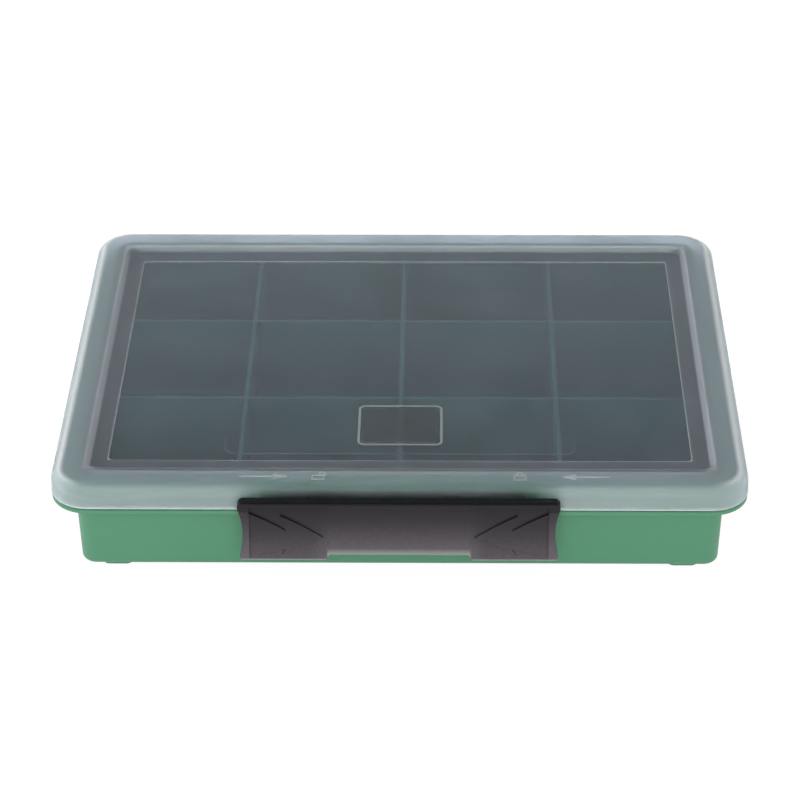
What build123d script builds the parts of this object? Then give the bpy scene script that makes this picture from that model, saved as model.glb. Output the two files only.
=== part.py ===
"""Compartment organizer box: a tapered tray with slot-in dividers, a hinged lid and a slide latch.

Millimetres, +Z up, front at -Y. One STEP file for each separate piece goes to parts/.
"""
import math
import os

from build123d import *

os.makedirs("parts", exist_ok=True)

# Overall size of the lid outline and the closed box
lid_w = 338.0
lid_d = 259.5
box_h = 58.3
lid_h = 12.8
lid_corner_r = 19.0

# Lid shell: rounded rim, recessed centre, thin panel step
lid_t = 1.8
lid_draft_deg = 2.0
rim_edge_r = 6.0
rim_top_side = 10.4
rim_top_front = 11.55
rim_slope_w = 2.0
ridge_r = 1.4
lid_edge_r = 0.5
foot_blend_r = 0.9
recess_depth = 3.4
recess_corner_r = 6.0
border_side = 8.3
border_front = 9.9
panel_step = 0.4
panel_corner_r = 3.0

# Raised marks on the lid: blank badge, label line, slide arrows, open and closed padlocks
badge_w = 42.0
badge_d = 37.0
badge_y_share = -0.26
badge_corner_r = 3.5
badge_frame_w = 1.2
badge_frame_gap = 1.6
badge_raise = 0.32
label_w_share = 0.51
label_front_gap = 6.2
label_arm = 14.0
label_corner_r = 6.0
label_line_w = 0.8
label_raise = 0.15
mark_raise = 0.3
mark_inset = 3.9
mark_line_w = 0.9
mark_arrow_len = 23.0
mark_head_len = 6.5
mark_head_half = 2.4
open_arrow_share = -0.194
shut_arrow_share = 0.267
open_lock_share = -0.115
shut_lock_share = 0.172
lock_w = 6.4
lock_h = 4.2
lock_ring_r = 1.9
lock_line_w = 0.8
lock_leg = 1.0

# Tray: tapered walls, flange under the lid, small feet
foot_h = 4.3
foot_size = 14.3
foot_corner_r = 3.0
foot_inset_side = 4.0
foot_inset_front = 0.4
floor_t = 2.0
tray_t = 2.0
tray_inset_side = 11.1
tray_inset_front = 11.65
tray_draft_deg = 2.1
tray_corner_r = 9.0
tray_bottom_r = 3.0
tray_floor_r = 2.0
tray_top_r = 0.6
flange_t = 2.2
flange_edge_r = 0.8
flange_back = 0.2

# Dividers: three front to back, eight across between them
columns = 4
rows = 3
long_t = 2.4
cross_t = 1.8
groove_depth = 0.5
divider_chamfer = 3.0
divider_edge_r = 0.5

# Clearances
close_gap = 0.8
rim_gap = 0.3
divider_gap = 0.5
slot_gap = 0.1
slide_gap = 0.3
pin_fit = 0.05
hinge_gap = 0.4

# Hinge: three pinned knuckles at the back
hinge_end = 53.0
hinge_w = 40.6
ear_w = 7.0
knuckle_r = 3.2
pin_d = 3.0
pin_set = 0.5
pin_chamfer = 0.4
axis_back = 0.4
gusset_h = 7.6
boss_t = 1.2

# Slide latch: grip shell
latch_top_w = 157.2
grip_waist_in = 3.3
grip_low_in = 1.35
latch_over = 7.3
latch_h = 32.8
latch_proud = 5.6
latch_t = 2.2
bead_h = 1.8
bead_r = 1.2
lip_h = 1.2
scoop_depth = 4.4
end_rim_raise = 1.6
scoop_end = 3.4
waist_share = 0.37
grip_corner_r = 3.0
grip_low_r = 1.6
grip_edge_r = 0.8
scoop_edge_r = 1.2
lip_rise = 2.6
lip_rise_half = 33.4
lip_rise_slope = 2.2

# Slide latch: relief arrows, as shares of the scoop's half length and the grip's height
arrow_raise = 0.8
arrow_mid_share = 0.34
arrow_barb_share = 0.792
arrow_neck_share = 0.758
arrow_tip_share = 0.507
arrow_tail_up_share = 0.444
arrow_tail_low_share = 0.29
arrow_barb_up_share = 0.392
arrow_barb_low_share = 0.259
arrow_neck_up_share = 0.112
arrow_neck_low_share = 0.168

# Slide latch: jaw on the tray's rail, hooks behind the lid's front skirt
slide_travel = 12.0
notch_cover = 3.0
notch_gap = 0.4
rail_back = 3.1
rail_lip_t = 1.8
rail_lip_drop = 2.4
jaw_t = 2.2
jaw_hook_t = 1.7
jaw_hook_rise = 4.4
tab_t = 1.7
tab_reach = 3.4
leaf_t = 2.0
hook_count = 4
hook_end = 7.7
hook_w = 9.0
hook_t = 2.0
keeper_depth = 1.7
keeper_t = 2.0
keeper_lift = 1.5
leaf_rise = 1.3
rib_count = 4
rib_t = 2.0
rib_h = 9.0

# Levels
lid_edge_z = box_h - lid_h
recess_z = box_h - recess_depth
panel_z = recess_z - panel_step
lid_under_z = recess_z - lid_t
flange_top_z = lid_edge_z - close_gap
flange_low_z = flange_top_z - flange_t
floor_z = foot_h + floor_t
wall_top_z = box_h - lid_t - rim_gap
divider_top_z = lid_under_z - divider_gap
front_y = -lid_d / 2
back_y = lid_d / 2

# The lid outline is moved so that latch and hinges stand out equally about the origin
hinge_proud = axis_back + knuckle_r
shift_y = (latch_proud - hinge_proud) / 2

# Lid outlines at the ridge, the foot of the recess and the panel step
lid_slope = math.tan(math.radians(lid_draft_deg))
ridge_w = lid_w - 2 * (rim_edge_r + rim_top_side)
ridge_d = lid_d - 2 * (rim_edge_r + rim_top_front)
recess_w = ridge_w - 2 * rim_slope_w
recess_d = ridge_d - 2 * rim_slope_w
panel_w = recess_w - 2 * border_side
panel_d = recess_d - 2 * border_front

# Tray half sizes at the flange, and their change with height
tray_slope = math.tan(math.radians(tray_draft_deg))
tray_half_x = lid_w / 2 - tray_inset_side
tray_half_y = lid_d / 2 - tray_inset_front


def tray_drop(z):
    """How far the tray's wall has come in at height z, against the flange."""
    return (flange_top_z - z) * tray_slope


def inner_x(z):
    """Half width of the tray's inside at height z."""
    return tray_half_x - tray_t - tray_drop(z)


def inner_y(z):
    """Half depth of the tray's inside at height z."""
    return tray_half_y - tray_t - tray_drop(z)


# Divider spacing gives equal cells at half the tray's depth
middle_z = (floor_z + flange_top_z) / 2
column_pitch = (2 * inner_x(middle_z) + long_t) / columns
row_pitch = (2 * inner_y(middle_z) + cross_t) / rows

# Hinge axis
axis_y = back_y + axis_back
axis_z = lid_edge_z - close_gap / 2
knuckle_w = hinge_w - 2 * ear_w - 2 * hinge_gap
hinge_pitch = lid_w / 2 - hinge_end

# Latch levels and the length of its jaw
latch_top_z = lid_edge_z + latch_over
latch_low_z = latch_top_z - latch_h
waist_half = latch_top_w / 2 - grip_waist_in
jaw_half = waist_half - slide_travel - notch_cover
jaw_w = 2 * jaw_half
hook_pitch = (jaw_w - hook_w - 2 * hook_end) / (hook_count - 1)

# Sections drawn in the Y-Z plane run along X
side_plane = Plane(origin=(0, 0, 0), x_dir=(0, 1, 0), z_dir=(1, 0, 0))


def rounded_block(low, high, low_z, high_z):
    """Block between two rounded rectangles, each given as width, depth and corner radius."""
    lower = Pos(0, 0, low_z) * RectangleRounded(*low)
    upper = Pos(0, 0, high_z) * RectangleRounded(*high)
    return loft([lower, upper], ruled=True)


def span_box(x0, x1, y0, y1, z0, z1):
    """Box given by its low and high limits."""
    centre = Pos((x0 + x1) / 2, (y0 + y1) / 2, (z0 + z1) / 2)
    return centre * Box(x1 - x0, y1 - y0, z1 - z0)


def rod(x0, x1, radius, y, z):
    """Cylinder along X."""
    centre = Pos((x0 + x1) / 2, y, z) * Rot(0, 90, 0)
    return centre * Cylinder(radius, x1 - x0)


def along_x(points, x0, x1):
    """Prism along X from a Y-Z polygon."""
    face = side_plane * make_face(Polyline(*points, close=True))
    return Pos(x0, 0, 0) * extrude(face, amount=x1 - x0)


def plate_along_x(points, y, thickness):
    """Upright plate across the box from an X-Z polygon."""
    face = Plane.XZ * make_face(Polyline(*points, close=True))
    return Pos(0, y, 0) * extrude(face, amount=thickness / 2, both=True)


def raised(sketch, x, y, z, height):
    """Flat raised mark with its underside at z."""
    return Pos(x, y, z) * extrude(sketch, amount=height)


def arrow_mark(direction):
    """Line arrow that points along X, its middle at the origin."""
    half = mark_arrow_len / 2
    shaft = Rectangle(mark_arrow_len - mark_line_w, mark_line_w)
    tip = half * direction
    barb = (half - mark_head_len) * direction
    head = make_face(Polyline((tip, 0), (barb, mark_head_half), (barb, mark_head_half - mark_line_w),
                              (tip - 2 * mark_line_w * direction, 0), (barb, mark_line_w - mark_head_half),
                              (barb, -mark_head_half), close=True))
    return shaft + head


def lock_mark(lift, turn):
    """Padlock sign: body, and a shackle raised by lift and moved across by turn."""
    body_in = 2 * lock_line_w
    body = RectangleRounded(lock_w, lock_h, lock_line_w)
    body = body - RectangleRounded(lock_w - body_in, lock_h - body_in, lock_line_w / 2)
    ring = Circle(lock_ring_r) - Circle(lock_ring_r - lock_line_w)
    ring_y = lock_h / 2 + lift
    upper = ring & (Pos(0, lock_ring_r / 2) * Rectangle(2 * lock_ring_r, lock_ring_r))
    leg = Rectangle(lock_line_w, lock_leg + lock_line_w)
    leg_x = lock_ring_r - lock_line_w / 2
    leg_y = ring_y - (lock_leg + lock_line_w) / 2 + lock_line_w / 2
    near = Pos(turn - leg_x, leg_y) * leg
    far = Pos(turn + leg_x, leg_y) * leg
    return body + Pos(turn, ring_y) * upper + near + far


# Lid: outer form with the rounded rim and the recess
lid_in = lid_h * lid_slope
lid_low = (lid_w, lid_d, lid_corner_r)
lid_high = (lid_w - 2 * lid_in, lid_d - 2 * lid_in, lid_corner_r - lid_in)
lid = rounded_block(lid_low, lid_high, lid_edge_z, box_h)
lid = fillet(lid.faces().sort_by(Axis.Z)[-1].edges(), rim_edge_r)
lid = fillet(lid.faces().sort_by(Axis.Z)[0].edges(), lid_edge_r)
recess = rounded_block((recess_w, recess_d, recess_corner_r), (ridge_w, ridge_d, recess_corner_r + rim_slope_w),
                       recess_z, box_h)
recess = fillet(recess.faces().sort_by(Axis.Z)[0].edges(), foot_blend_r)
lid = lid - recess
lid = fillet(lid.faces().sort_by(Axis.Z)[-1].inner_wires()[0].edges(), ridge_r)

# Lid: the hollow under the rim
hollow_h = lid_h - lid_t
hollow_in = hollow_h * lid_slope
hollow_r = lid_corner_r - lid_t
hollow_low = (lid_w - 2 * lid_t, lid_d - 2 * lid_t, hollow_r)
hollow_high = (lid_w - 2 * (lid_t + hollow_in), lid_d - 2 * (lid_t + hollow_in), hollow_r - hollow_in)
hollow = rounded_block(hollow_low, hollow_high, lid_edge_z, box_h - lid_t)
hollow = fillet(hollow.faces().sort_by(Axis.Z)[-1].edges(), rim_edge_r - lid_t)
island = rounded_block((recess_w + 2 * lid_t, recess_d + 2 * lid_t, recess_corner_r + lid_t),
                       (ridge_w + 2 * lid_t, ridge_d + 2 * lid_t, recess_corner_r + rim_slope_w + lid_t),
                       lid_under_z, box_h)
lid = lid - (hollow - island)
lid = lid - Pos(0, 0, panel_z) * extrude(RectangleRounded(panel_w, panel_d, panel_corner_r), amount=panel_step)

# Lid: blank badge and label line on the panel
badge_y = badge_y_share * lid_d
badge = RectangleRounded(badge_w, badge_d, badge_corner_r)
badge_in = 2 * badge_frame_w
badge_frame = badge - RectangleRounded(badge_w - badge_in, badge_d - badge_in, badge_corner_r - badge_frame_w)
field_in = badge_in + 2 * badge_frame_gap
badge_field = RectangleRounded(badge_w - field_in, badge_d - field_in, badge_corner_r - badge_frame_w)
lid = lid + raised(badge_frame, 0, badge_y, panel_z, badge_raise)
lid = lid + raised(badge_field, 0, badge_y, panel_z, badge_raise)
label_w = label_w_share * lid_w
label_d = 2 * label_arm
label_in = 2 * label_line_w
label = RectangleRounded(label_w, label_d, label_corner_r)
label = label - RectangleRounded(label_w - label_in, label_d - label_in, label_corner_r - label_line_w)
label = label & (Pos(0, -label_arm / 2) * Rectangle(label_w, label_arm))
label_y = -panel_d / 2 + label_front_gap + label_arm
lid = lid + raised(label, 0, label_y, panel_z, label_raise)

# Lid: slide arrows and padlock signs on the front rim
mark_y = front_y + rim_edge_r + mark_inset
lid = lid + raised(arrow_mark(1), open_arrow_share * lid_w, mark_y, box_h, mark_raise)
lid = lid + raised(arrow_mark(-1), shut_arrow_share * lid_w, mark_y, box_h, mark_raise)
lock_y = mark_y - lock_ring_r / 2
lid = lid + raised(lock_mark(lock_leg, lock_ring_r), open_lock_share * lid_w, lock_y, box_h, mark_raise)
lid = lid + raised(lock_mark(lock_line_w, 0), shut_lock_share * lid_w, lock_y, box_h, mark_raise)

# Lid: keepers behind the front skirt, one for each latch hook
hook_xs = [hook_pitch * (i - (hook_count - 1) / 2) for i in range(hook_count)]
keeper_z0 = lid_edge_z + keeper_lift
keeper_z1 = keeper_z0 + keeper_t
keeper_y1 = front_y + lid_t + keeper_depth
for x in hook_xs:
    lid = lid + span_box(x - hook_w / 2, x + hook_w / 2, front_y + lid_t / 2, keeper_y1, keeper_z0, keeper_z1)

# Lid: hinge knuckles with gussets, and clearance around the tray's ears
hinge_xs = (-hinge_pitch, 0.0, hinge_pitch)
skirt_y = back_y - lid_t
boss_z0 = axis_z + knuckle_r + hinge_gap
boss_z1 = box_h - lid_t
for x in hinge_xs:
    ear_out = x + hinge_w / 2 + hinge_gap
    ear_in = x + knuckle_w / 2
    lid = lid - rod(ear_in, ear_out, knuckle_r + hinge_gap, axis_y, axis_z)
    lid = lid - rod(2 * x - ear_out, 2 * x - ear_in, knuckle_r + hinge_gap, axis_y, axis_z)
    lid = lid + span_box(x - hinge_w / 2, x + hinge_w / 2, skirt_y - boss_t, back_y - lid_t / 2 - lid_in,
                         boss_z0, boss_z1 - rim_edge_r / 2)
    knuckle_x0 = x - knuckle_w / 2
    knuckle_x1 = x + knuckle_w / 2
    gusset = [(axis_y - knuckle_r, axis_z), (axis_y + knuckle_r, axis_z),
              (back_y - lid_in, axis_z + gusset_h), (axis_y - knuckle_r, axis_z + gusset_h)]
    knuckle = rod(knuckle_x0, knuckle_x1, knuckle_r, axis_y, axis_z) + along_x(gusset, knuckle_x0, knuckle_x1)
    lid = lid + knuckle
    lid = lid - rod(knuckle_x0, knuckle_x1, pin_d / 2 + pin_fit, axis_y, axis_z)

# Tray: tapered body, flange and feet
low_drop = tray_drop(foot_h)
high_drop = tray_drop(wall_top_z)
tray_low = (2 * (tray_half_x - low_drop), 2 * (tray_half_y - low_drop), tray_corner_r - low_drop)
tray_high = (2 * (tray_half_x - high_drop), 2 * (tray_half_y - high_drop), tray_corner_r - high_drop)
tray = rounded_block(tray_low, tray_high, foot_h, wall_top_z)
tray = fillet(tray.faces().sort_by(Axis.Z)[0].edges(), tray_bottom_r)
flange = Pos(0, 0, flange_low_z) * extrude(
    RectangleRounded(lid_w - 2 * flange_back, lid_d - 2 * flange_back, lid_corner_r - flange_back), amount=flange_t)
flange_rims = flange.faces().sort_by(Axis.Z)[0].edges() + flange.faces().sort_by(Axis.Z)[-1].edges()
tray = tray + fillet(flange_rims, flange_edge_r)
floor_drop = tray_drop(floor_z)
cavity_r = tray_corner_r - tray_t
cavity_low = (2 * inner_x(floor_z), 2 * inner_y(floor_z), cavity_r - floor_drop)
cavity_high = (2 * inner_x(wall_top_z), 2 * inner_y(wall_top_z), cavity_r - high_drop)
cavity = rounded_block(cavity_low, cavity_high, floor_z, wall_top_z)
cavity = fillet(cavity.faces().sort_by(Axis.Z)[0].edges(), tray_floor_r)
tray = tray - cavity
tray = fillet(tray.faces().sort_by(Axis.Z)[-1].edges(), tray_top_r)
foot_x = recess_w / 2 - foot_inset_side - foot_size / 2
foot_y = recess_d / 2 - foot_inset_front - foot_size / 2
foot = extrude(RectangleRounded(foot_size, foot_size, foot_corner_r), amount=foot_h + floor_t / 2)
for x in (-foot_x, foot_x):
    for y in (-foot_y, foot_y):
        tray = tray + Pos(x, y, 0) * foot

# Tray: front notch for the latch, and the rail that the latch slides on
notch_x0 = -jaw_half - notch_gap
notch_x1 = jaw_half + slide_travel + notch_gap
wall_front_y = -tray_half_y
rail_y = wall_front_y - rail_back
lip_y0 = rail_y - rail_lip_t
lip_low_z = flange_low_z - rail_lip_drop
tray = tray - span_box(notch_x0, notch_x1, front_y - flange_t, lip_y0, flange_low_z - flange_t, flange_top_z + flange_t)
tray = tray + span_box(notch_x0 - flange_t, notch_x1 + flange_t, lip_y0, rail_y, lip_low_z, flange_top_z - flange_edge_r)

# Tray: hinge ears, and room for the lid's knuckles
for x in hinge_xs:
    room = knuckle_w / 2 + hinge_gap
    tray = tray - span_box(x - room, x + room, axis_y - knuckle_r - hinge_gap, axis_y + knuckle_r,
                           flange_low_z - flange_t, flange_top_z + flange_t)
    for side in (-1, 1):
        ear_a = x + side * room
        ear_b = x + side * hinge_w / 2
        ear = rod(min(ear_a, ear_b), max(ear_a, ear_b), knuckle_r, axis_y, axis_z)
        tray = tray + ear - rod(min(ear_a, ear_b), max(ear_a, ear_b), pin_d / 2, axis_y, axis_z)

# Dividers: grooves in the walls go as deep as groove_depth, and the dividers stop slot_gap short
long_xs = [column_pitch * (i - columns / 2 + 1) for i in range(columns - 1)]
cross_ys = [row_pitch * (i - rows / 2 + 1) for i in range(rows - 1)]


def wall_outline(half_at, top_z, out, chamfer):
    """Outline of a full upright section that reaches out past the tray's inside."""
    low = half_at(floor_z) + out
    bend_z = floor_z + chamfer
    bend = half_at(bend_z) + out
    top = half_at(top_z) + out
    return [(-low + chamfer, floor_z), (low - chamfer, floor_z), (bend, bend_z), (top, top_z),
            (-top, top_z), (-bend, bend_z)]


bite = groove_depth - slot_gap
for x in long_xs:
    groove = wall_outline(inner_y, wall_top_z, groove_depth, divider_chamfer)
    tray = tray - along_x(groove, x - long_t / 2 - slot_gap, x + long_t / 2 + slot_gap)
for y in cross_ys:
    groove = wall_outline(inner_x, wall_top_z, groove_depth, divider_chamfer)
    tray = tray - plate_along_x(groove, y, cross_t + 2 * slot_gap)

long_dividers = []
for x in long_xs:
    outline = wall_outline(inner_y, divider_top_z, bite, divider_chamfer)
    divider = along_x(outline, x - long_t / 2, x + long_t / 2)
    divider = fillet(divider.edges().filter_by(Axis.Y).group_by(Axis.Z)[-1], divider_edge_r)
    for y in cross_ys:
        half = cross_t / 2 + slot_gap
        for side in (-1, 1):
            face_x = x + side * long_t / 2
            groove_x = face_x - side * groove_depth
            divider = divider - span_box(min(face_x, groove_x), max(face_x, groove_x), y - half, y + half,
                                         floor_z, divider_top_z)
    long_dividers.append(divider)

cross_dividers = []
for y in cross_ys:
    whole = plate_along_x(wall_outline(inner_x, divider_top_z, bite, divider_chamfer), y, cross_t)
    whole = fillet(whole.edges().filter_by(Axis.X).group_by(Axis.Z)[-1], divider_edge_r)
    edges = [-lid_w / 2] + long_xs + [lid_w / 2]
    reach = long_t / 2 - bite
    row = []
    for i in range(columns):
        x0 = edges[i] + reach
        x1 = edges[i + 1] - reach
        row.append(whole & span_box(x0, x1, y - cross_t, y + cross_t, 0, box_h))
    cross_dividers.append(row)

# Hinge pins
pins = []
for x in hinge_xs:
    pin = rod(x - hinge_w / 2 + pin_set, x + hinge_w / 2 - pin_set, pin_d / 2, axis_y, axis_z)
    pins.append(chamfer(pin.edges().filter_by(GeomType.CIRCLE), pin_chamfer))

# Latch: grip shell, hollowed by a round scoop
grip_y0 = front_y - latch_proud
grip_back_y = front_y - slide_gap
bead_z = latch_top_z - bead_h
lip_z = latch_low_z + lip_h
scoop_half_h = (bead_z - lip_z) / 2
scoop_z = (bead_z + lip_z) / 2
scoop_r = (scoop_half_h ** 2 + scoop_depth ** 2) / (2 * scoop_depth)
scoop_y = grip_y0 + scoop_depth - scoop_r
shell_r = scoop_r + latch_t
step_z = flange_low_z - slide_gap


def shell_back(z):
    """Y of the shell's back at height z."""
    return scoop_y + math.sqrt(shell_r ** 2 - (z - scoop_z) ** 2)


back_low = (shell_back(latch_low_z), latch_low_z)
back_mid = (shell_back(scoop_z), scoop_z)
back_high = (shell_back(step_z), step_z)
grip_lines = Polyline(back_high, (grip_back_y, step_z), (grip_back_y, latch_top_z),
                      (grip_y0 + bead_r, latch_top_z))
bead_mid = bead_r * math.sqrt(1 / 2)
bead_arc = ThreePointArc((grip_y0 + bead_r, latch_top_z),
                         (grip_y0 + bead_r - bead_mid, latch_top_z - bead_r + bead_mid),
                         (grip_y0, latch_top_z - bead_r))
front_lines = Polyline((grip_y0, latch_top_z - bead_r), (grip_y0, latch_low_z), back_low)
grip_face = side_plane * make_face(grip_lines + bead_arc + front_lines + ThreePointArc(back_low, back_mid, back_high))
grip = extrude(grip_face, amount=latch_top_w, both=True)

# Latch: waisted outline seen from the front
waist_z = latch_low_z + waist_share * latch_h
top_half = latch_top_w / 2
low_half = top_half - grip_low_in
outline_left = ThreePointArc((-top_half, latch_top_z), (-waist_half, waist_z), (-low_half, latch_low_z))
outline_right = ThreePointArc((low_half, latch_low_z), (waist_half, waist_z), (top_half, latch_top_z))
outline_low = Line((-low_half, latch_low_z), (low_half, latch_low_z))
outline_high = Line((top_half, latch_top_z), (-top_half, latch_top_z))
outline = make_face(outline_left + outline_low + outline_right + outline_high)
outline = fillet(outline.vertices().group_by(Axis.Y)[-1], grip_corner_r)
outline = fillet(outline.vertices().group_by(Axis.Y)[0], grip_low_r)
outline_back_y = front_y + latch_t + scoop_depth
outline_block = Pos(0, outline_back_y, 0) * extrude(Plane.XZ * outline, amount=outline_back_y - grip_y0)
outline_block = fillet(outline_block.faces().sort_by(Axis.Y)[0].edges(), grip_edge_r)
grip = grip & outline_block

# Latch: scoop with its shallower ends, raised middle of the lower edge, relief arrows
scoop_half = waist_half - scoop_end


def scoop_cut(radius, half):
    """Prism along X that hollows the grip and rounds the scoop's upper and lower edges."""
    disc = Pos(scoop_y, scoop_z) * Rot(0, 0, 180) * Circle(radius)
    front = Pos(grip_y0 - scoop_depth / 2, scoop_z) * Rectangle(scoop_depth, latch_h)
    section = disc + front
    mouth = section.vertices().group_by(Axis.X)[-1].sort_by(Axis.Y)[1:-1]
    section = fillet(mouth, scoop_edge_r)
    return extrude(side_plane * section, amount=half, both=True)


rise_foot = lip_rise_half + lip_rise_slope
rise_top_z = latch_low_z + lip_rise
rise = [(-rise_foot, latch_low_z), (rise_foot, latch_low_z), (lip_rise_half, rise_top_z), (-lip_rise_half, rise_top_z)]
rise_cut = plate_along_x(rise, front_y, 2 * shell_r)
relief = rod(-scoop_half, scoop_half, scoop_r, scoop_y, scoop_z)
relief = relief - rod(-scoop_half, scoop_half, scoop_r - arrow_raise, scoop_y, scoop_z)
arrow_z = latch_low_z + arrow_mid_share * latch_h
tail_z0 = arrow_z - arrow_tail_low_share * latch_h
tail_z1 = arrow_z + arrow_tail_up_share * latch_h
barb_z0 = arrow_z - arrow_barb_low_share * latch_h
barb_z1 = arrow_z + arrow_barb_up_share * latch_h
neck_z0 = arrow_z - arrow_neck_low_share * latch_h
neck_z1 = arrow_z + arrow_neck_up_share * latch_h
arrows = []
for side in (-1, 1):
    tail_x = side * scoop_half
    barb_x = side * arrow_barb_share * scoop_half
    neck_x = side * arrow_neck_share * scoop_half
    tip_x = side * arrow_tip_share * scoop_half
    points = [(tail_x, tail_z1), (neck_x, neck_z1), (barb_x, barb_z1), (tip_x, arrow_z),
              (barb_x, barb_z0), (neck_x, neck_z0), (tail_x, tail_z0)]
    prism = plate_along_x(points, front_y, 2 * shell_r)
    arrows.append(relief & prism & span_box(-scoop_half, scoop_half, grip_y0 + grip_edge_r, front_y + latch_t,
                                            lip_z, bead_z))
latch = grip - scoop_cut(scoop_r, scoop_half) - scoop_cut(scoop_r - end_rim_raise, latch_top_w)
for arrow in arrows:
    latch = latch + arrow
latch = latch - rise_cut

# Latch: bridge under the skirt, jaw around the rail, leaf and hooks behind the skirt
leaf_y0 = keeper_y1 + slide_gap
leaf_y1 = leaf_y0 + leaf_t
bridge_z0 = flange_low_z
bridge_z1 = lid_edge_z - close_gap
jaw_y1 = lip_y0 - slide_gap
jaw_y0 = jaw_y1 - jaw_t
hook_low_z = keeper_z1 + slide_gap
hook_top_z = hook_low_z + hook_t
hook_reach = keeper_depth - slide_gap
under_z1 = lip_low_z - slide_gap
under_z0 = under_z1 - jaw_t
behind_y0 = rail_y + slide_gap
behind_y1 = behind_y0 + jaw_hook_t
behind_z1 = min(under_z0 + jaw_hook_rise, flange_low_z - slide_gap)
tab_z0 = flange_top_z + slide_gap
bridge = span_box(-jaw_half, jaw_half, grip_back_y - slide_gap, jaw_y1, bridge_z0, bridge_z1)
leaf = span_box(-jaw_half, jaw_half, leaf_y0, leaf_y1, bridge_z0, hook_top_z + leaf_rise)
jaw_front = span_box(-jaw_half, jaw_half, jaw_y0, jaw_y1, under_z0, tab_z0 + tab_t)
jaw_under = span_box(-jaw_half, jaw_half, jaw_y0, behind_y1, under_z0, under_z1)
jaw_behind = span_box(-jaw_half, jaw_half, behind_y0, behind_y1, under_z0, behind_z1)
jaw_tab = span_box(-jaw_half, jaw_half, leaf_y0, jaw_y1 + tab_reach, tab_z0, tab_z0 + tab_t)
latch = latch + bridge + leaf + jaw_front + jaw_under + jaw_behind + jaw_tab
for x in hook_xs:
    latch = latch + span_box(x - hook_w / 2, x + hook_w / 2, leaf_y0 - hook_reach, leaf_y1, hook_low_z, hook_top_z)
rib_y0 = shell_back(scoop_z) - latch_t / 2
for i in range(rib_count):
    x = (jaw_w - rib_t) * (i / (rib_count - 1) - 1 / 2)
    latch = latch + span_box(x - rib_t / 2, x + rib_t / 2, rib_y0, jaw_y0 + jaw_t / 2, bridge_z0 - rib_h, bridge_z0)

# One STEP file for each piece
pieces = {"tray": tray, "lid": lid, "slide_latch": latch}
sides = ("left", "centre", "right")
for name, pin in zip(sides, pins):
    pieces["hinge_pin_" + name] = pin
for name, divider in zip(sides, long_dividers):
    pieces["divider_long_" + name] = divider
for line, row in zip(("front", "rear"), cross_dividers):
    for i, divider in enumerate(row):
        pieces["divider_" + line + "_" + str(i + 1)] = divider
for name, shape in pieces.items():
    export_step(Pos(0, shift_y, 0) * shape, "parts/" + name + ".step")
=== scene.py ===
"""Looks of the compartment organizer box: finishes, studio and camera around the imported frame."""

import logging
import math
from dataclasses import dataclass, field
from enum import Enum
from typing import List, Tuple

import bpy
from mathutils import Matrix, Vector


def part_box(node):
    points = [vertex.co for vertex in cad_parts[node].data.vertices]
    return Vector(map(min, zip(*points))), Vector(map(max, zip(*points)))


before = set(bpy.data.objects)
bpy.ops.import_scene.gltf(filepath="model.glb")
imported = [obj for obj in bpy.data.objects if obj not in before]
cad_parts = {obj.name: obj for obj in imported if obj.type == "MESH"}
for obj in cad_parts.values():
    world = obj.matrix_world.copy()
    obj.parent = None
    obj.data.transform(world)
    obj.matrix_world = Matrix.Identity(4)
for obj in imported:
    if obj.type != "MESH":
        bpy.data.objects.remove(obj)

Colour = Tuple[float, float, float]
Point = Tuple[float, float, float]
LOG = logging.getLogger("organizer_box")
MM = 0.001
NOISE_RANGE = (0.3, 0.7)
EDGE_TURN = (0.75, 0.98)
EDGE_BREAK = (0.6, 1.0)
EDGE_SAMPLES = 4


class Ray(Enum):
    """Kinds of ray that see the white surroundings instead of their plain light."""

    CAMERA = "Is Camera Ray"
    GLOSSY = "Is Glossy Ray"
    TRANSMISSION = "Is Transmission Ray"


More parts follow.
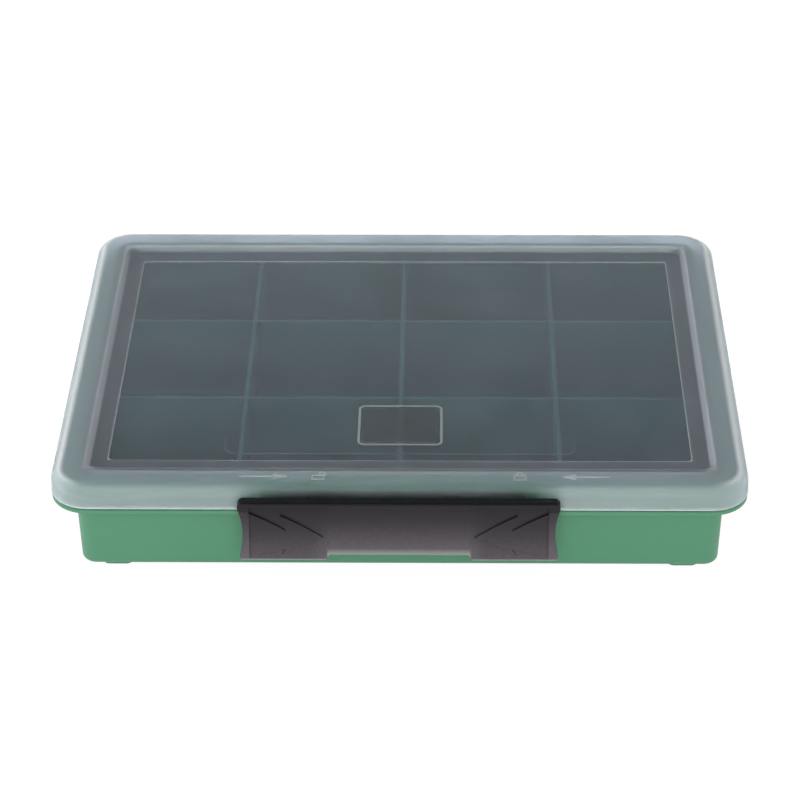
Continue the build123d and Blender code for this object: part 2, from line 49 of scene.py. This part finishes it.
class Graph:
    """Node tree of one material or world, with short calls for the nodes that the finishes share."""

    def __init__(self, tree: bpy.types.NodeTree) -> None:
        """Empties the tree.

        Args:
            tree: Node tree of a material or a world.
        """
        self.tree = tree
        self.tree.nodes.clear()

    def node(self, kind: str, **settings: object) -> bpy.types.Node:
        """Adds a node.

        Args:
            kind: Blender's class name of the node.
            **settings: Properties set on the node.

        Returns:
            The new node.
        """
        made = self.tree.nodes.new(kind)
        for name, value in settings.items():
            setattr(made, name, value)
        return made

    def wire(self, source: bpy.types.NodeSocket, target: bpy.types.NodeSocket) -> None:
        """Joins an output to an input."""
        self.tree.links.new(source, target)

    def feed(self, target: bpy.types.NodeSocket, value: object) -> None:
        """Sets an input, or joins it where the value is an output.

        Args:
            target: Input socket.
            value: Output socket, number or colour.
        """
        if isinstance(value, bpy.types.NodeSocket):
            self.wire(value, target)
        elif isinstance(value, tuple) and target.type == "RGBA":
            target.default_value = (*value, 1.0)
        else:
            target.default_value = value

    def place(self, stretch: Point = (1.0, 1.0, 1.0)) -> bpy.types.NodeSocket:
        """Object coordinates in metres, stretched along the axes.

        Args:
            stretch: Scale along X, Y and Z.

        Returns:
            Vector output.
        """
        source = self.node("ShaderNodeTexCoord").outputs["Object"]
        mapping = self.node("ShaderNodeMapping")
        mapping.inputs["Scale"].default_value = stretch
        self.wire(source, mapping.inputs["Vector"])
        return mapping.outputs["Vector"]

    def noise(self, scale: float, detail: float = 2.0,
              stretch: Point = (1.0, 1.0, 1.0)) -> bpy.types.NodeSocket:
        """Noise over the object.

        Args:
            scale: Waves in a metre.
            detail: Octaves added.
            stretch: Scale along X, Y and Z.

        Returns:
            Value output from 0 to 1.
        """
        made = self.node("ShaderNodeTexNoise")
        made.inputs["Scale"].default_value = scale
        made.inputs["Detail"].default_value = detail
        self.wire(self.place(stretch), made.inputs["Vector"])
        return made.outputs["Fac"]

    def span(self, value: bpy.types.NodeSocket, low: float, high: float,
             start: float = 0.0, end: float = 1.0) -> bpy.types.NodeSocket:
        """Maps a value from start..end to low..high, clamped.

        Args:
            value: Value to map.
            low: Result at start.
            high: Result at end.
            start: Value that gives low.
            end: Value that gives high.

        Returns:
            Value output.
        """
        made = self.node("ShaderNodeMapRange", clamp=True)
        for name, number in (("From Min", start), ("From Max", end), ("To Min", low), ("To Max", high)):
            made.inputs[name].default_value = number
        self.wire(value, made.inputs["Value"])
        return made.outputs["Result"]

    def sum(self, operation: str, *values: object) -> bpy.types.NodeSocket:
        """Works out one sum.

        Args:
            operation: Blender's name of the sum.
            *values: Values or outputs that go into it.

        Returns:
            Value output.
        """
        made = self.node("ShaderNodeMath", operation=operation)
        for socket, value in zip(made.inputs, values):
            self.feed(socket, value)
        return made.outputs["Value"]

    def tint(self, share: bpy.types.NodeSocket, first: object, second: object) -> bpy.types.NodeSocket:
        """Mixes two colours.

        Args:
            share: Share of the second colour.
            first: Colour or output at 0.
            second: Colour or output at 1.

        Returns:
            Colour output.
        """
        made = self.node("ShaderNodeMix", data_type="RGBA")
        self.wire(share, made.inputs["Factor"])
        self.feed(made.inputs[6], first)
        self.feed(made.inputs[7], second)
        return made.outputs[2]

    def bump(self, height: bpy.types.NodeSocket, strength: float, depth: float) -> bpy.types.NodeSocket:
        """Turns a height into a surface normal.

        Args:
            height: Height from 0 to 1.
            strength: Share of the effect.
            depth: Real depth of a height of 1, in metres.

        Returns:
            Normal output.
        """
        made = self.node("ShaderNodeBump")
        made.inputs["Strength"].default_value = strength
        made.inputs["Distance"].default_value = depth
        self.wire(height, made.inputs["Height"])
        return made.outputs["Normal"]

    def edge_highlight(self, width: float, uneven: bpy.types.NodeSocket) -> bpy.types.NodeSocket:
        """Share of the painted highlight along edges: up to 1 along sharp edges and 0 on the faces between
        them.

        Args:
            width: Width of the painted highlight line beside an edge.
            uneven: Noise that breaks the line up.

        Returns:
            Value output.
        """
        soft = self.node("ShaderNodeBevel", samples=EDGE_SAMPLES)
        soft.inputs["Radius"].default_value = width
        faces = self.node("ShaderNodeNewGeometry")
        turn = self.node("ShaderNodeVectorMath", operation="DOT_PRODUCT")
        self.wire(soft.outputs["Normal"], turn.inputs[0])
        self.wire(faces.outputs["Normal"], turn.inputs[1])
        edge = self.span(turn.outputs["Value"], 1.0, 0.0, *EDGE_TURN)
        return self.sum("MULTIPLY", edge, self.span(uneven, *EDGE_BREAK, *NOISE_RANGE))

    def surface(self, **sockets: object) -> None:
        """Adds a principled surface with the given inputs and joins it to the output.

        Args:
            **sockets: Inputs by name, with _ for a space.
        """
        shader = self.node("ShaderNodeBsdfPrincipled")
        for name, value in sockets.items():
            self.feed(shader.inputs[name.replace("_", " ")], value)
        output = self.node("ShaderNodeOutputMaterial")
        self.wire(shader.outputs["BSDF"], output.inputs["Surface"])

    def matt(self, level: float) -> bpy.types.NodeSocket:
        """Adds a grey matt surface.

        Args:
            level: Brightness of its grey.

        Returns:
            Shader output.
        """
        made = self.node("ShaderNodeBsdfDiffuse")
        self.feed(made.inputs["Color"], (level, level, level))
        return made.outputs["BSDF"]

    def seen_by(self, rays: List[Ray]) -> bpy.types.NodeSocket:
        """Gives 1 for the named kinds of ray and 0 for the others and after a diffuse bounce.

        Args:
            rays: Kinds of ray.

        Returns:
            Value output.
        """
        path = self.node("ShaderNodeLightPath")
        total = path.outputs[rays[0].value]
        for ray in rays[1:]:
            total = self.sum("MAXIMUM", total, path.outputs[ray.value])
        direct = self.sum("LESS_THAN", path.outputs["Diffuse Depth"], 0.5)
        return self.sum("MULTIPLY", total, direct)


def new_material(name: str) -> Tuple[bpy.types.Material, Graph]:
    """Makes an empty node material.

    Args:
        name: Material name.

    Returns:
        The material and its graph.
    """
    material = bpy.data.materials.new(name)
    material.use_nodes = True
    return material, Graph(material.node_tree)


@dataclass(frozen=True)
class MouldedFinish:
    """Satin moulded plastic: pigment drift, spark-eroded grain, uneven gloss and a painted highlight along
    its edges.
    """

    name: str
    colour: Colour
    drift: Colour
    roughness: Tuple[float, float]
    grain_scale: float = 2600.0
    grain_depth: float = 0.02 * MM
    grain_strength: float = 0.25
    speck_ratio: float = 0.4
    speckle: Tuple[float, float] = (0.6, 1.0)
    gloss_ratio: float = 6.0
    drift_scale: float = 14.0
    specular: float = 0.5
    # Colour of the painted highlight along edges.
    edge: Colour = (0.2, 0.4, 0.28)
    edge_width: float = 0.5 * MM

    def material(self) -> bpy.types.Material:
        """Builds the material.

        Returns:
            The finished material.
        """
        material, graph = new_material(self.name)
        speck = graph.noise(self.grain_scale * self.speck_ratio, 1.0)
        grain = graph.noise(self.grain_scale, 2.0)
        gloss = graph.noise(self.drift_scale * self.gloss_ratio, 3.0)
        rough = graph.span(gloss, *self.roughness, *NOISE_RANGE)
        # Edges take the lighter edge colour as a painted highlight.
        colour = graph.tint(graph.edge_highlight(self.edge_width, speck), self.pigment(graph, speck), self.edge)
        graph.surface(Base_Color=colour, Roughness=rough, Specular_IOR_Level=self.specular,
                      Normal=graph.bump(grain, self.grain_strength, self.grain_depth))
        return material

    def pigment(self, graph: Graph, speck: bpy.types.NodeSocket) -> bpy.types.NodeSocket:
        """Colour of the faces, drifting slowly and speckled.

        Args:
            graph: Graph that the nodes go into.
            speck: Fine noise from 0 to 1.

        Returns:
            Colour output.
        """
        flow = graph.noise(self.drift_scale, 3.0)
        share = graph.sum("MULTIPLY", graph.span(flow, 0.0, 1.0, *NOISE_RANGE),
                          graph.span(speck, *self.speckle, *NOISE_RANGE))
        return graph.tint(share, self.colour, self.drift)


@dataclass(frozen=True)
class GripFinish(MouldedFinish):
    """Moulded plastic with painted light: lighter towards its lower lip and on its end ribs, a painted
    highlight on the lip and painted shade on upward ledges.
    """

    # Painted light: the first colour is the painted light low on the grip, the second painted shade on
    # upward faces and the third a painted highlight on the lower lip.
    lit_low: Colour = (0.16, 0.142, 0.16)
    ledge_shade: Colour = (0.006, 0.0055, 0.006)
    lip_highlight: Colour = (0.27, 0.3, 0.28)
    lit_z: Tuple[float, float] = (19.0 * MM, 48.0 * MM)
    lip_highlight_z: Tuple[float, float] = (20.6 * MM, 21.2 * MM)
    middle_z: Tuple[float, float] = (22.9 * MM, 25.4 * MM)
    middle_x: Tuple[float, float] = (34.0 * MM, 35.0 * MM)
    end_x: Tuple[float, float] = (33.0 * MM, 42.0 * MM)
    end_lit: float = 0.63
    rim_x: Tuple[float, float] = (71.7 * MM, 72.3 * MM)
    rim_lit: Tuple[float, float] = (0.8, 0.02)
    lit_power: float = 1.55
    lit_speckle: Tuple[float, float] = (0.8, 1.0)
    ledge_shade_turn: Tuple[float, float] = (0.6, 0.75)

    def pigment(self, graph: Graph, speck: bpy.types.NodeSocket) -> bpy.types.NodeSocket:
        """Colour of the faces with painted light: lighter towards the bottom and on the end ribs, painted
        shade on faces turned upwards and a painted highlight along the lower lip.

        Args:
            graph: Graph that the nodes go into.
            speck: Fine noise from 0 to 1.

        Returns:
            Colour output.
        """
        place = graph.node("ShaderNodeSeparateXYZ")
        graph.wire(graph.place(), place.inputs["Vector"])
        facing = graph.node("ShaderNodeSeparateXYZ")
        graph.wire(graph.node("ShaderNodeNewGeometry").outputs["Normal"], facing.inputs["Vector"])
        height, upward = place.outputs["Z"], facing.outputs["Z"]
        across = graph.sum("ABSOLUTE", place.outputs["X"])
        # Painted light: the grip is lighter towards the bottom, a little less so towards its ends.
        lit_share = graph.sum("POWER", graph.span(height, 1.0, 0.0, *self.lit_z), self.lit_power)
        lit_share = graph.sum("MULTIPLY", lit_share, graph.span(speck, *self.lit_speckle, *NOISE_RANGE))
        lit_share = graph.sum("MULTIPLY", lit_share, graph.span(across, 1.0, self.end_lit, *self.end_x))
        # Painted highlight on the end ribs, stronger towards the bottom.
        end_rib_highlight = graph.sum("MULTIPLY", graph.span(across, 0.0, 1.0, *self.rim_x),
                         graph.span(height, *self.rim_lit, *self.lit_z))
        lit_share = graph.sum("MAXIMUM", lit_share, end_rib_highlight)
        colour = graph.tint(lit_share, super().pigment(graph, speck), self.lit_low)
        # Painted shade on faces that turn upwards.
        colour = graph.tint(graph.span(upward, 0.0, 1.0, *self.ledge_shade_turn), colour, self.ledge_shade)
        # Painted highlight along the lower lip and the lower edge of the raised middle.
        middle = graph.sum("MULTIPLY", graph.span(across, 1.0, 0.0, *self.middle_x),
                           graph.span(height, 1.0, 0.0, *self.middle_z))
        lip_highlight_share = graph.sum("MAXIMUM", middle, graph.span(height, 1.0, 0.0, *self.lip_highlight_z))
        return graph.tint(lip_highlight_share, colour, self.lip_highlight)


@dataclass(frozen=True)
class Zone:
    """One zone of the lid's plastic: tint, share of light let through, roughness and depth of grain."""

    tint: Colour
    clear: float
    rough: float
    grain: float

    @property
    def recipe(self) -> Colour:
        """The three numbers as one colour, so that they are mixed together."""
        return (self.clear, self.rough, self.grain)


@dataclass(frozen=True)
class Patch:
    """Rectangle of the lid seen from above: its middle along Y, half width and half depth."""

    middle: float
    half: Tuple[float, float]

    def share(self, graph: Graph, parts: bpy.types.Node, edge: float) -> bpy.types.NodeSocket:
        """Gives 1 inside the rectangle and 0 outside.

        Args:
            graph: Graph that the nodes go into.
            parts: Node that gives X, Y and Z.
            edge: Half width of the change at the rectangle's sides.

        Returns:
            Value output.
        """
        along_y = graph.sum("SUBTRACT", parts.outputs["Y"], self.middle)
        shares = []
        for place, limit in zip((parts.outputs["X"], along_y), self.half):
            across = graph.sum("ABSOLUTE", place)
            shares.append(graph.span(across, 1.0, 0.0, limit - edge, limit + edge))
        return graph.sum("MULTIPLY", *shares)


@dataclass(frozen=True)
class FrostedFinish:
    """See-through lid plastic: satin rim, sides painted whiter as a highlight, skirt and marks, a painted
    highlight along the bottom edge, misty bend and clearer patches.

    The first patch is the window over the latch, tinted darker as painted shade and made clearer so the
    latch behind shows through, the others lie in the recess, and the last is the panel; the ring just
    outside the panel is a painted highlight.
    """

    name: str
    rim: Zone
    side: Zone
    skirt: Zone
    mark: Zone
    lip_highlight: Zone
    patches: Tuple[Tuple[Patch, Zone, float], ...]
    field: Tuple[Patch, Zone]
    skirt_z: Tuple[float, float]
    lip_highlight_z: Tuple[float, float]
    panel_mark_z: Tuple[float, float]
    rim_mark_z: float
    mist_z: Tuple[float, float, float]
    mist: float = 0.5
    lit_side_turn: Tuple[float, float] = (0.02, 0.34)
    ior: float = 1.3
    specular: float = 0.1
    mark_edge: float = 0.05 * MM
    grain_scale: float = 1800.0
    grain_depth: float = 0.03 * MM
    grain_strength: float = 0.3
    cloud_scale: float = 30.0
    cloud: float = 0.015

    def layers(self, graph: Graph) -> List[Tuple[bpy.types.NodeSocket, Zone]]:
        """Lists the zones over the rim, lowest first.

        Args:
            graph: Graph that the nodes go into.

        Returns:
            The share of each zone with the zone.
        """
        parts = graph.node("ShaderNodeSeparateXYZ")
        graph.wire(graph.place(), parts.inputs["Vector"])
        height = parts.outputs["Z"]
        facing = graph.node("ShaderNodeSeparateXYZ")
        graph.wire(graph.node("ShaderNodeTexCoord").outputs["Normal"], facing.inputs["Vector"])
        across = graph.sum("ABSOLUTE", facing.outputs["X"])
        latch_shade_window, *recess = [(patch.share(graph, parts, edge), zone) for patch, zone, edge in self.patches]
        low, middle, high = self.mist_z
        mist = graph.sum("MINIMUM", graph.span(height, 0.0, self.mist, low, middle),
                         graph.span(height, self.mist, 0.0, middle, high))
        # The side zone paints a highlight on faces turned left or right, the window over the latch paints
        # shade, and the lip zone paints a highlight along the bottom edge.
        made = [(graph.span(across, 0.0, 1.0, *self.lit_side_turn), self.side),
                (graph.span(height, 1.0, 0.0, *self.skirt_z), self.skirt), latch_shade_window, (mist, self.skirt),
                (graph.span(height, 1.0, 0.0, *self.lip_highlight_z), self.lip_highlight), *recess]
        panel = recess[-1][0]
        on_rim = graph.span(height, 0.0, 1.0, self.rim_mark_z, self.rim_mark_z + self.mark_edge)
        on_panel = graph.span(height, 0.0, 1.0, *self.panel_mark_z)
        raised = graph.sum("MULTIPLY", on_panel, panel)
        made.append((graph.sum("MAXIMUM", on_rim, raised), self.mark))
        patch, zone = self.field
        made.append((graph.sum("MULTIPLY", raised, patch.share(graph, parts, self.mark_edge)), zone))
        return made

    def material(self) -> bpy.types.Material:
        """Builds the material.

        Returns:
            The finished material.
        """
        material, graph = new_material(self.name)
        tint, recipe = self.rim.tint, self.rim.recipe
        for share, zone in self.layers(graph):
            tint = graph.tint(share, tint, zone.tint)
            recipe = graph.tint(share, recipe, zone.recipe)
        numbers = graph.node("ShaderNodeSeparateColor")
        graph.wire(recipe, numbers.inputs["Color"])
        cloud = graph.span(graph.noise(self.cloud_scale, 3.0), -self.cloud, self.cloud, *NOISE_RANGE)
        clear = graph.sum("ADD", numbers.outputs["Red"], cloud)
        rough = graph.sum("ADD", numbers.outputs["Green"], cloud)
        grain = graph.sum("MULTIPLY", graph.noise(self.grain_scale, 2.0), numbers.outputs["Blue"])
        graph.surface(Base_Color=tint, Roughness=rough, IOR=self.ior, Specular_IOR_Level=self.specular,
                      Transmission_Weight=clear,
                      Normal=graph.bump(grain, self.grain_strength, self.grain_depth))
        return material


@dataclass(frozen=True)
class WireFinish:
    """Drawn steel wire with fine lines along its length."""

    name: str
    colour: Colour = (0.62, 0.63, 0.65)
    shade: float = 0.8
    roughness: Tuple[float, float] = (0.22, 0.4)
    line_scale: float = 4000.0
    line_stretch: Point = (0.02, 1.0, 1.0)
    line_strength: float = 0.2
    line_depth: float = 0.01 * MM

    def material(self) -> bpy.types.Material:
        """Builds the material.

        Returns:
            The finished material.
        """
        material, graph = new_material(self.name)
        lines = graph.noise(self.line_scale, 2.0, self.line_stretch)
        dark = tuple(self.shade * channel for channel in self.colour)
        graph.surface(Base_Color=graph.tint(lines, self.colour, dark), Metallic=1.0,
                      Roughness=graph.span(lines, *self.roughness, *NOISE_RANGE),
                      Normal=graph.bump(lines, self.line_strength, self.line_depth))
        return material


def dress_node(name: str, material: bpy.types.Material) -> None:
    """Gives a CAD node one material.

    Args:
        name: Node name.
        material: Material that covers it.
    """
    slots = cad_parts[name].data.materials
    slots.clear()
    slots.append(material)


def dress_all(prefix: str, material: bpy.types.Material) -> List[str]:
    """Gives every CAD node of one kind the same material.

    Args:
        prefix: Start of the nodes' names.
        material: Material that covers them.

    Returns:
        The nodes' names.
    """
    names = sorted(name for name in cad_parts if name.startswith(prefix))
    for name in names:
        dress_node(name, material)
    return names


@dataclass
class Tray:
    """Tapered tray with its flange, feet, latch rail and hinge ears."""

    node: str = "tray"
    # The default edge colour paints a highlight along the tray's edges.
    finish: MouldedFinish = MouldedFinish("tray_green", (0.086, 0.272, 0.156), (0.079, 0.257, 0.147),
                                          (0.4, 0.5))

    def dress(self) -> List[str]:
        """Covers the tray in satin green."""
        dress_node(self.node, self.finish.material())
        return [self.node]


@dataclass
class Dividers:
    """Long and cross dividers of the twelve cells."""

    prefix: str = "divider_"
    # The lighter edge colour paints a highlight along the dividers' edges.
    finish: MouldedFinish = MouldedFinish("divider_green", (0.092, 0.275, 0.163), (0.084, 0.259, 0.152),
                                          (0.42, 0.52), drift_scale=20.0, edge=(0.38, 0.74, 0.6))

    def dress(self) -> List[str]:
        """Covers all dividers in satin green."""
        return dress_all(self.prefix, self.finish.material())


@dataclass
class Lid:
    """Frosted lid with its ridge, recessed border, clearer panel and raised marks; lengths in metres."""

    node: str = "lid"
    centre_y: float = 1.0 * MM
    ridge_half: Tuple[float, float] = (153.5 * MM, 113.1 * MM)
    recess_half: Tuple[float, float] = (151.0 * MM, 110.6 * MM)
    panel_half: Tuple[float, float] = (142.3 * MM, 100.3 * MM)
    field_half: Tuple[float, float] = (18.2 * MM, 15.7 * MM)
    badge_y: float = -66.47 * MM
    front_y: float = -128.75 * MM
    window_half: Tuple[float, float] = (72.0 * MM, 10.0 * MM)
    window_fade: float = 8.0 * MM
    skirt_h: float = 12.8 * MM
    lip_highlight_h: Tuple[float, float] = (0.5 * MM, 0.9 * MM)
    step_w: float = 0.24 * MM
    mark_raise: float = 0.3 * MM
    faint_raise: float = 0.09 * MM
    panel_drop: float = 3.8 * MM
    skirt_drop: Tuple[float, float] = (1.8 * MM, 0.3 * MM)
    mist_drop: Tuple[float, float, float] = (3.8 * MM, 1.8 * MM, 0.4 * MM)
    rim: Zone = Zone((0.64, 0.68, 0.76), 0.93, 0.5, 1.0)
    # Painted highlight: faces turned to the left or right are whiter and less clear.
    side: Zone = Zone((0.98, 0.98, 0.98), 0.36, 0.5, 1.0)
    skirt: Zone = Zone((0.84, 0.92, 0.955), 0.8, 0.6, 1.0)
    # Painted highlight: the skirt's bottom edge is white and less clear.
    lip_highlight: Zone = Zone((1.0, 1.0, 1.0), 0.45, 0.4, 0.3)
    # Painted shade of the latch: darker over the latch, and clearer so the latch behind shows through.
    latch_shade_window: Zone = Zone((0.66, 0.8, 0.82), 0.98, 0.55, 0.6)
    ridge: Zone = Zone((0.85, 0.86, 0.92), 0.8, 0.42, 0.6)
    border: Zone = Zone((0.69, 0.71, 0.83), 0.94, 0.36, 0.5)
    # Painted highlight: a thin whiter ring along the step round the panel.
    step_highlight: Zone = Zone((0.95, 0.95, 0.97), 0.5, 0.36, 0.1)
    panel: Zone = Zone((0.6, 0.68, 0.83), 0.95, 0.16, 0.1)
    mark: Zone = Zone((0.88, 0.9, 0.95), 0.74, 0.42, 0.5)
    badge_field: Zone = Zone((0.35, 0.36, 0.43), 0.9, 0.36, 0.5)

    def finish(self) -> FrostedFinish:
        """Works out the finish from the lid's own height.

        Returns:
            The lid's finish.
        """
        rim_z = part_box(self.node)[1][2] - self.mark_raise
        panel_z = rim_z - self.panel_drop
        step_half = tuple(side + self.step_w for side in self.panel_half)
        edge = self.step_w / 3.0
        # The window patch over the latch carries painted shade, and the thin ring at the panel's step a
        # painted highlight.
        patches = ((Patch(self.front_y, self.window_half), self.latch_shade_window, self.window_fade),
                   (Patch(self.centre_y, self.ridge_half), self.ridge, 2.0 * self.step_w),
                   (Patch(self.centre_y, self.recess_half), self.border, self.step_w),
                   (Patch(self.centre_y, step_half), self.step_highlight, edge),
                   (Patch(self.centre_y, self.panel_half), self.panel, edge))
        return FrostedFinish("lid_frosted", self.rim, self.side, self.skirt, self.mark, self.lip_highlight, patches,
                             (Patch(self.badge_y, self.field_half), self.badge_field),
                             tuple(rim_z - drop for drop in self.skirt_drop),
                             tuple(rim_z - self.skirt_h + rise for rise in self.lip_highlight_h),
                             (panel_z + self.faint_raise, panel_z + self.mark_raise),
                             rim_z + self.mark_raise / 3.0,
                             tuple(rim_z - drop for drop in self.mist_drop))

    def dress(self) -> List[str]:
        """Covers the lid in its zoned plastic."""
        dress_node(self.node, self.finish().material())
        return [self.node]


@dataclass
class SlideLatch:
    """Black latch: scooped grip with relief arrows, jaw and hooks."""

    node: str = "slide_latch"
    # Grip finish with painted light: lighter towards the bottom, painted shade on ledges and painted
    # highlights on the lower lip, end ribs and edges.
    finish: GripFinish = GripFinish("latch_black", (0.008, 0.0065, 0.0085), (0.01, 0.0085, 0.0105),
                                    (0.36, 0.44), grain_scale=2200.0, grain_depth=0.03 * MM, specular=0.25,
                                    edge=(0.035, 0.032, 0.035))

    def dress(self) -> List[str]:
        """Covers the latch in satin black."""
        dress_node(self.node, self.finish.material())
        return [self.node]


@dataclass
class HingePins:
    """Steel pins of the three hinges."""

    prefix: str = "hinge_pin_"
    finish: WireFinish = WireFinish("pin_steel")

    def dress(self) -> List[str]:
        """Covers the pins in drawn steel."""
        return dress_all(self.prefix, self.finish.material())


@dataclass(frozen=True)
class Lamp:
    """Square soft lamp: where it hangs, the side of its square, its watts and the point that it faces."""

    name: str
    place: Point
    size: float
    power: float
    aim: Point = (0.0, 0.0, 30.0 * MM)

    def build(self) -> None:
        """Hangs the lamp, unseen in reflections."""
        data = bpy.data.lights.new(self.name, "AREA")
        data.shape = "SQUARE"
        data.size = self.size
        data.energy = self.power
        lamp = bpy.data.objects.new(self.name, data)
        lamp.visible_glossy = False
        lamp.location = self.place
        lamp.rotation_euler = (Vector(self.aim) - Vector(self.place)).to_track_quat("-Z", "Y").to_euler()
        bpy.context.scene.collection.objects.link(lamp)


@dataclass
class Studio:
    """White surroundings, soft light from the front and both sides, and the camera of the photograph."""

    world_level: float = 0.36
    ceiling_level: float = 0.2
    ceiling_rise: Tuple[float, float] = (0.45, 0.6)
    floor_half: float = 6.0
    floor_plain: float = 0.9
    floor_soft: float = 0.12
    floor_glow: float = 0.95
    lamps: Tuple[Lamp, ...] = (Lamp("front_lamp", (0.0, -1.7, 0.75), 1.2, 19.0),
                               Lamp("left_lamp", (-1.6, 0.2, 0.7), 0.8, 15.0),
                               Lamp("right_lamp", (1.6, 0.2, 0.7), 0.8, 6.0))
    lens: float = 128.833
    sensor: float = 36.0
    clip_end: float = 50.0
    eye: Point = (20.0 * MM, -1270.96 * MM, 810.6 * MM)
    pitch: float = 0.55159
    yaw: float = -0.01669
    roll: float = -0.00615
    white_rays: List[Ray] = field(default_factory=lambda: [Ray.CAMERA, Ray.GLOSSY, Ray.TRANSMISSION])

    def build_world(self) -> None:
        """Lights the surroundings evenly, and shows them white with a greyer ceiling in reflections."""
        world = bpy.data.worlds.new("surroundings")
        bpy.context.scene.world = world
        world.use_nodes = True
        graph = Graph(world.node_tree)
        parts = graph.node("ShaderNodeSeparateXYZ")
        graph.wire(graph.node("ShaderNodeTexCoord").outputs["Generated"], parts.inputs["Vector"])
        ceiling = graph.span(parts.outputs["Z"], 1.0, self.ceiling_level, *self.ceiling_rise)
        white = graph.sum("MAXIMUM", ceiling, graph.seen_by([Ray.CAMERA]))
        shown = graph.seen_by(self.white_rays)
        plain = graph.sum("MULTIPLY", graph.sum("SUBTRACT", 1.0, shown), self.world_level)
        back = graph.node("ShaderNodeBackground")
        back.inputs["Color"].default_value = (1.0, 1.0, 1.0, 1.0)
        graph.wire(graph.sum("MULTIPLY_ADD", shown, white, plain), back.inputs["Strength"])
        graph.wire(back.outputs["Background"], graph.node("ShaderNodeOutputWorld").inputs["Surface"])

    def build_floor(self) -> None:
        """Makes the pale floor, which glows white where it is seen straight or through the lid."""
        half = self.floor_half
        corners = [(-half, -half, 0), (half, -half, 0), (half, half, 0), (-half, half, 0)]
        mesh = bpy.data.meshes.new("floor")
        mesh.from_pydata(corners, [], [(0, 1, 2, 3)])
        floor = bpy.data.objects.new("floor", mesh)
        bpy.context.scene.collection.objects.link(floor)
        material, graph = new_material("floor_white")
        plain, soft = graph.matt(self.floor_plain), graph.matt(self.floor_soft)
        glow = graph.node("ShaderNodeEmission")
        glow.inputs["Strength"].default_value = self.floor_glow
        both = graph.node("ShaderNodeAddShader")
        graph.wire(soft, both.inputs[0])
        graph.wire(glow.outputs["Emission"], both.inputs[1])
        mix = graph.node("ShaderNodeMixShader")
        graph.wire(graph.seen_by(self.white_rays), mix.inputs["Fac"])
        graph.wire(plain, mix.inputs[1])
        graph.wire(both.outputs["Shader"], mix.inputs[2])
        graph.wire(mix.outputs["Shader"], graph.node("ShaderNodeOutputMaterial").inputs["Surface"])
        mesh.materials.append(material)

    def build_camera(self) -> None:
        """Makes the camera at the photograph's viewpoint."""
        level = math.cos(self.pitch)
        ahead = Vector((math.sin(self.yaw) * level, math.cos(self.yaw) * level, -math.sin(self.pitch)))
        right = Vector((math.cos(self.yaw), -math.sin(self.yaw), 0.0))
        up = right.cross(ahead)
        turned = math.cos(self.roll) * right + math.sin(self.roll) * up
        upright = math.cos(self.roll) * up - math.sin(self.roll) * right
        data = bpy.data.cameras.new("viewpoint")
        data.lens = self.lens
        data.sensor_width = self.sensor
        data.clip_end = self.clip_end
        camera = bpy.data.objects.new("viewpoint", data)
        axes = Matrix((turned, upright, -ahead)).transposed()
        camera.matrix_world = Matrix.Translation(Vector(self.eye)) @ axes.to_4x4()
        bpy.context.scene.collection.objects.link(camera)
        bpy.context.scene.camera = camera

    def build(self) -> None:
        """Builds the whole studio."""
        self.build_world()
        self.build_floor()
        for lamp in self.lamps:
            lamp.build()
        self.build_camera()
        bpy.context.scene.view_settings.view_transform = "Standard"


def main() -> None:
    """Dresses the sub-assemblies, logs their pieces and builds the studio."""
    logging.basicConfig(level=logging.INFO)
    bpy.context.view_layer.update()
    for assembly in (Tray(), Dividers(), Lid(), SlideLatch(), HingePins()):
        for piece in assembly.dress():
            LOG.info("%s: %s", type(assembly).__name__, piece)
    Studio().build()


if __name__ == "__main__":
    main()
